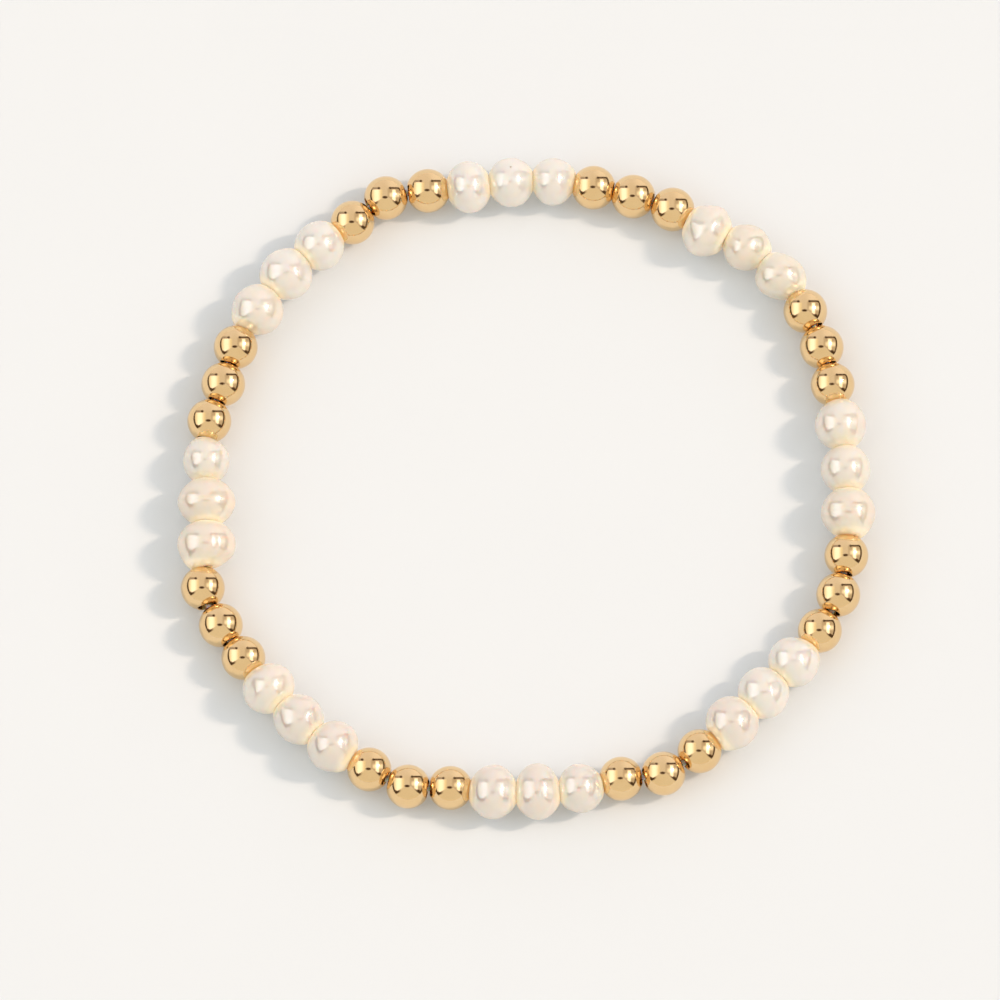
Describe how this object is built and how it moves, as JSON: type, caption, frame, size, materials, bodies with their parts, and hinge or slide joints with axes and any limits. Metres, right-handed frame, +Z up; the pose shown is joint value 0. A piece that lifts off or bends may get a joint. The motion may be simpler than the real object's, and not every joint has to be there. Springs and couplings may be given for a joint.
{
  "type": "pearl and gold bead stretch bracelet",
  "caption": "Stretch bracelet of potato-shaped pearls and polished round gold-coloured beads in alternating runs on one elastic, lying flat as a closed loop.",
  "frame": {"origin": "on the surface that the bracelet lies on, under the middle of the loop's box", "axes": "+Z up, square to the flat loop; the beads follow each other clockwise seen from above, and +Y points to the far side of the loop as the camera sees it"},
  "size_m": [0.0632, 0.0634, 0.0047],
  "materials": {
    "gold": "mirror-polished gold plate, warm peach gold",
    "pearl": "satin nacre, cream white with a faint pink overtone",
    "elastic": "clear milky elastic, smooth"
  },
  "bodies": {
    "root": {"elastic_cord": "elastic", "gold_bead_01": "gold", "gold_bead_02": "gold", "gold_bead_03": "gold", "gold_bead_04": "gold", "gold_bead_05": "gold", "gold_bead_06": "gold", "gold_bead_07": "gold", "gold_bead_08": "gold", "gold_bead_09": "gold", "gold_bead_10": "gold", "gold_bead_11": "gold", "gold_bead_12": "gold", "gold_bead_13": "gold", "gold_bead_14": "gold", "gold_bead_15": "gold", "gold_bead_16": "gold", "gold_bead_17": "gold", "gold_bead_18": "gold", "gold_bead_19": "gold", "gold_bead_20": "gold", "gold_bead_21": "gold", "gold_bead_22": "gold", "gold_bead_23": "gold", "gold_bead_24": "gold", "pearl_01": "pearl", "pearl_02": "pearl", "pearl_03": "pearl", "pearl_04": "pearl", "pearl_05": "pearl", "pearl_06": "pearl", "pearl_07": "pearl", "pearl_08": "pearl", "pearl_09": "pearl", "pearl_10": "pearl", "pearl_11": "pearl", "pearl_12": "pearl", "pearl_13": "pearl", "pearl_14": "pearl", "pearl_15": "pearl", "pearl_16": "pearl", "pearl_17": "pearl", "pearl_18": "pearl", "pearl_19": "pearl", "pearl_20": "pearl", "pearl_21": "pearl", "pearl_22": "pearl", "pearl_23": "pearl", "pearl_24": "pearl"}
  },
  "joints": []
}
